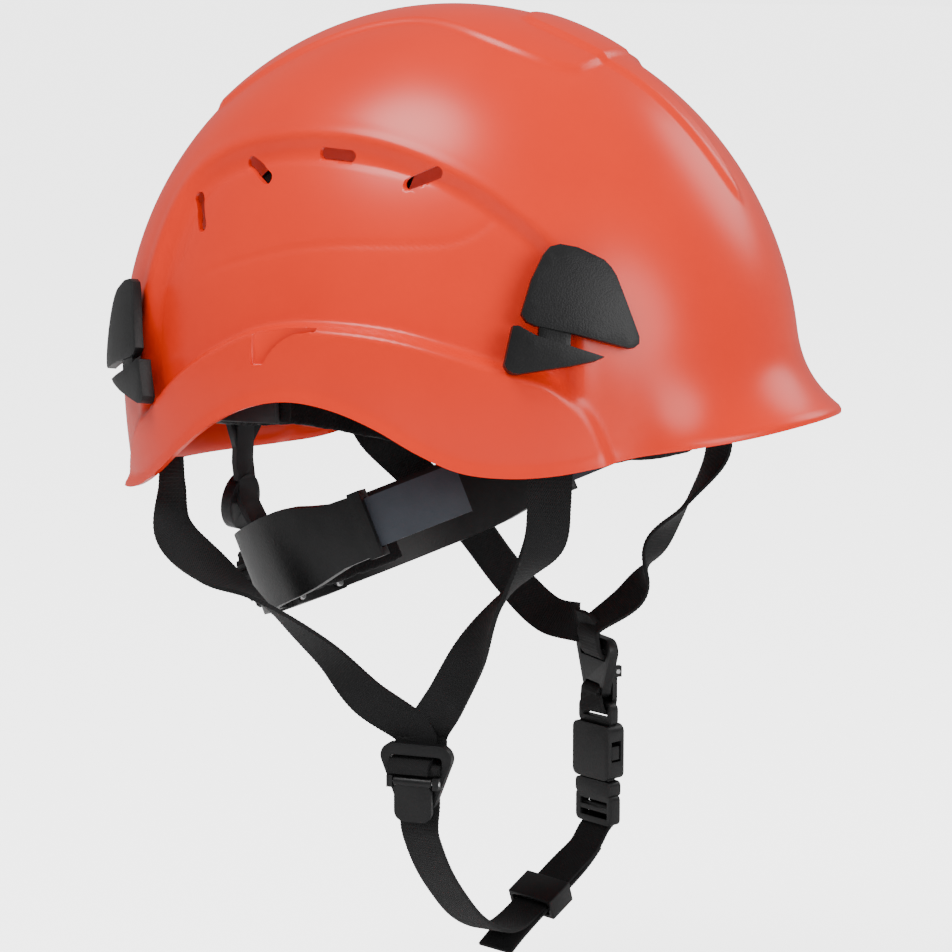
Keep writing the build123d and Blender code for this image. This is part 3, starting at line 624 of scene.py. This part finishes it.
RIGHT_DIVIDER = hardware_frame((-72.5, -22, -124), -1, 8)
LEFT_DIVIDER = hardware_frame((62, -32.5, -107), 1, 35)
BUCKLE = hardware_frame((60.5, -34, -131.5), 1, 20)
CHIN = (local_stations(RIGHT_DIVIDER, ((0, -7.5, -3.0), (0, -13, -2.9)), -1)
        + (((-70.8, -22, -146), (0, 1, 0)), ((-67, -22, -154), (0, 1, 0)), ((-58, -21.5, -166), (0, 1, 0)),
           ((-45, -21, -179), (0, 1, 0)), ((-30, -20, -191), (0, 1, 0)), ((-14, -19.2, -200), (0, 1, 0)),
           ((0, -19, -205), (0, 1, 0)), ((13, -19.5, -205), (0, 1, 0)), ((46, -26.5, -190), (0.1, 1, 0)),
           ((54, -31, -183), (0.3, 1, 0)), ((58.4, -33.4, -176), (0.34, 1, 0)))
        + local_stations(BUCKLE, ((0, -40, 3.2), (0, -34, 3.4)), 1))
TAIL = (((-1.5, -18.3, -213.2), (0.1, 1, 0.05)), ((6.6, -19.6, -209.0), (0.17, 1, 0.07)),
        ((15.7, -20.6, -205.4), (0.17, 1, 0.07)), ((28.5, -23.0, -199.7), (0.17, 1, 0.08)),
        ((42.0, -26.0, -193.4), (0.17, 1, 0.08)), ((50.0, -28.6, -188.4), (0.25, 1, 0.06)),
        ((56.3, -31.6, -182.0), (0.32, 1, 0.03)))
TIE = 13.0
BUCKLE_TIE = (local_stations(LEFT_DIVIDER, ((0, -6.0, 3.0), (0, -9.5, 3.2), (0, -13, 3.2)), 1)
              + local_stations(BUCKLE, ((0, 8.0, 3.2), (0, 5.0, 1.6), (0, 4.6, -0.6), (0, 6.0, -3.0)), 1)
              + local_stations(LEFT_DIVIDER, ((0, -13, -3.2), (0, -10.5, -2.6), (0, -9.2, 0.4)), 1))


def join_into(piece, *others):
    """Make several meshes one piece that stays with the first one's body."""
    deselect_all()
    for other in others:
        other.select_set(True)
    piece.select_set(True)
    bpy.context.view_layer.objects.active = piece
    bpy.ops.object.join()
    return piece


def padded_copy(node, material, slot_name, body="helmet", puff=0.6):
    """Foam pad under knit: the plain block drawn in at its edges and plumped out between its quilting lines."""
    pad = refined(node, body, material, slot_name, 0)
    apply_modifier(pad, "REMESH", mode="VOXEL", voxel_size=0.0011)
    pick(pad)
    bpy.ops.object.mode_set(mode="EDIT")
    bpy.ops.mesh.select_all(action="SELECT")
    bpy.ops.mesh.vertices_smooth(factor=0.5, repeat=8)
    bpy.ops.object.mode_set(mode="OBJECT")
    co = read_points(pad.data)
    normals = np.empty(len(pad.data.vertices) * 3, np.float32)
    pad.data.vertices.foreach_get("normal", normals)
    turn = np.arctan2(co[:, 0], -co[:, 1])
    quilt = np.abs(np.sin(turn * 9))
    plump = puff * MM * (np.minimum(quilt * 2.2, 1.0) - 0.75)
    write_points(pad.data, co + normals.reshape(-1, 3) * plump[:, None])
    if len(pad.data.polygons) > 60000:
        apply_modifier(pad, "DECIMATE", ratio=60000 / len(pad.data.polygons))
    smooth(pad, 60)
    return pad


# ---------------------------------------------------------------- stage
def aim(thing, target):
    thing.rotation_euler = (Vector(target) - thing.location).to_track_quat("-Z", "Y").to_euler()


def area_light(name, place, target, size, power, colour=(1, 1, 1)):
    bpy.ops.object.light_add(type="AREA", location=place)
    light = bpy.context.active_object
    light.name = name
    light.data.shape = "DISK"
    light.data.size = size
    light.data.energy = power
    light.data.color = colour
    aim(light, target)
    return light


def build_stage():
    bpy.ops.mesh.primitive_plane_add(size=30.0, location=(0, 0, CAD_BOX[0][2] - FLOOR_GAP))
    floor = bpy.context.active_object
    floor.name = "floor"
    material, nodes, links, shader = new_material("floor_white")
    shader.inputs["Base Color"].default_value = (0.95, 0.95, 0.95, 1)
    shader.inputs["Roughness"].default_value = 0.9
    shader.inputs["Emission Color"].default_value = (1, 1, 1, 1)
    glow = nodes.new("ShaderNodeMath")
    glow.operation = "MULTIPLY"
    glow.inputs[1].default_value = FLOOR_GLOW
    links.new(nodes.new("ShaderNodeLightPath").outputs["Is Camera Ray"], glow.inputs[0])
    links.new(glow.outputs[0], shader.inputs["Emission Strength"])
    floor.data.materials.append(material)
    world = bpy.data.worlds.new("studio")
    bpy.context.scene.world = world
    world.use_nodes = True
    nodes, links = world.node_tree.nodes, world.node_tree.links
    room = nodes["Background"]
    room.inputs["Strength"].default_value = ROOM_LIGHT
    room.inputs["Color"].default_value = (1, 1, 1, 1)
    seen = add_node(nodes, "ShaderNodeBackground", Color=(1, 1, 1, 1), Strength=ROOM_SEEN)
    choice = nodes.new("ShaderNodeMixShader")
    links.new(nodes.new("ShaderNodeLightPath").outputs["Is Camera Ray"], choice.inputs[0])
    links.new(room.outputs[0], choice.inputs[1])
    links.new(seen.outputs[0], choice.inputs[2])
    links.new(choice.outputs[0], nodes["World Output"].inputs["Surface"])
    area_light("key_light", (-0.75, 0.45, 1.7), (0, 0, 0.08), 0.9, 34)
    area_light("front_light", (-0.9, -1.9, 0.6), (0, 0, 0.0), 1.2, 27)
    area_light("far_light", (1.4, -0.9, 1.0), (0, 0, 0.0), 1.0, 10)


CAMERA_TURN, CAMERA_RISE, CAMERA_DISTANCE = radians(62), radians(6), 1.3
CAMERA_PIVOT = Vector((0, 0, 0.060))
AIM_RIGHT, AIM_DOWN = 0.0079, 0.0820
FLOOR_GAP = 0.06
FLOOR_GLOW, ROOM_LIGHT, ROOM_SEEN = 3.2, 0.34, 3.4


def place_camera():
    toward = Vector((-sin(CAMERA_TURN) * cos(CAMERA_RISE), -cos(CAMERA_TURN) * cos(CAMERA_RISE),
                     sin(CAMERA_RISE)))
    right = Vector((cos(CAMERA_TURN), -sin(CAMERA_TURN), 0))
    up = toward.cross(right)
    up = up if up.z > 0 else -up
    data = bpy.data.cameras.new("camera")
    camera = bpy.data.objects.new("camera", data)
    bpy.context.scene.collection.objects.link(camera)
    camera.location = CAMERA_PIVOT + toward * CAMERA_DISTANCE
    aim(camera, CAMERA_PIVOT + right * AIM_RIGHT - up * AIM_DOWN)
    data.sensor_width = 36.0
    data.lens = 125.9
    bpy.context.scene.camera = camera


# ---------------------------------------------------------------- the helmet
place_camera()
build_stage()

SHELL = gloss_shell_plastic()
BLACK = textured_plastic("clip_black_satin", (0.0045, 0.0045, 0.0050), (0.0085, 0.0085, 0.0090), 1500.0,
                         (0.38, 0.50), 0.00012)
GREY = textured_plastic("suspension_grey_satin", (0.018, 0.0185, 0.0205), (0.026, 0.0265, 0.029), 1200.0,
                        (0.42, 0.55), 0.0001)
RACK = textured_plastic("rack_blue_grey", (0.040, 0.046, 0.058), (0.052, 0.059, 0.073), 1200.0,
                        (0.42, 0.55), 0.0001)
WHITE = textured_plastic("pinion_natural", (0.66, 0.66, 0.63), (0.74, 0.74, 0.71), 900.0, (0.35, 0.45), 0.00005)
WEBBING = webbing_cloth()
KNIT = padded_knit()
STEEL = turned_steel()

build_shell(SHELL)

for corner in ("front_right", "front_left", "rear_right", "rear_left"):
    refined(corner + "_lamp_clip", "helmet", BLACK, "clip_black", 0.8)
for side in ("right", "left"):
    refined(side + "_suspension_lugs", "helmet", GREY, "suspension_grey", 0.6)
    refined(side + "_rear_strut", "helmet", GREY, "suspension_grey", 0.5)
    refined(side + "_rear_strap_anchor", "helmet", GREY, "suspension_grey", 0.6)
    refined(side + "_front_strap_anchor", "helmet", GREY, "suspension_grey", 0.6)
    refined(side + "_divider_frame", "helmet", BLACK, "clip_black", 0.6)
    refined(side + "_divider_lever", side + "_lever", BLACK, "clip_black", 0.5)
    refined(side + "_divider_pin", "helmet", STEEL, "steel", 0.2)
    refined(side + "_rack_band", side + "_rack", RACK, "rack_grey", 0.3)
for node in ("rear_hoop", "headband", "nape_yoke"):
    refined(node, "helmet", GREY, "suspension_grey", 0.5)
refined("ratchet_housing", "helmet", BLACK, "clip_black", 0.6)
refined("ratchet_inner_cover", "helmet", BLACK, "clip_black", 0.4)
refined("cover_screws", "helmet", STEEL, "steel", 0.2)
refined("adjuster_knob", "adjuster", BLACK, "clip_black", 0.6)
refined("drive_pinion", "adjuster", WHITE, "pinion_white", 0.15)
refined("buckle_socket", "helmet", BLACK, "clip_black", 0.7)
refined("buckle_plug", "helmet", BLACK, "clip_black", 0.6)
refined("buckle_front_arm", "buckle_front_latch", BLACK, "clip_black", 0.5)
refined("buckle_rear_arm", "buckle_rear_latch", BLACK, "clip_black", 0.5)
refined("strap_keeper", "keeper", BLACK, "clip_black", 0.6)
for node in ("rear_pad", "sweatband", "crown_pad", "nape_pad"):
    padded_copy(node, KNIT, "pad_black")
for node in ("crown_strap_long", "crown_strap_cross"):
    refined(node, "helmet", KNIT, "crown_tape", 0.3)

lay_tape("right_rear_webbing", RIGHT_REAR[:-1] + over_bar(RIGHT_DIVIDER, -2.0, True, 1),
         WEB, THICK, WEBBING, "webbing_black", ["right_rear_strap"])
lay_tape("right_front_webbing", RIGHT_FRONT[:-1] + over_bar(RIGHT_DIVIDER, 2.0, False, -1),
         WEB, THICK, WEBBING, "webbing_black", ["right_front_strap"])
lay_tape("left_rear_webbing", LEFT_REAR[:-1] + over_bar(LEFT_DIVIDER, 2.0, True, -1),
         WEB, THICK, WEBBING, "webbing_black", ["left_rear_strap"])
lay_tape("left_front_webbing", LEFT_FRONT[:-1] + over_bar(LEFT_DIVIDER, -2.0, False, 1),
         WEB, THICK, WEBBING, "webbing_black", ["left_front_strap"])
chin = lay_tape("chin_webbing", CHIN, WEB, THICK, WEBBING, "webbing_black", ["chin_strap"])
buckle_tie = lay_tape("buckle_tie", BUCKLE_TIE, TIE * MM, THICK, WEBBING, "webbing_black", [])
join_into(chin, buckle_tie)
lay_tape("tail_webbing", TAIL, WEB, THICK, WEBBING, "webbing_black", ["strap_tail"])
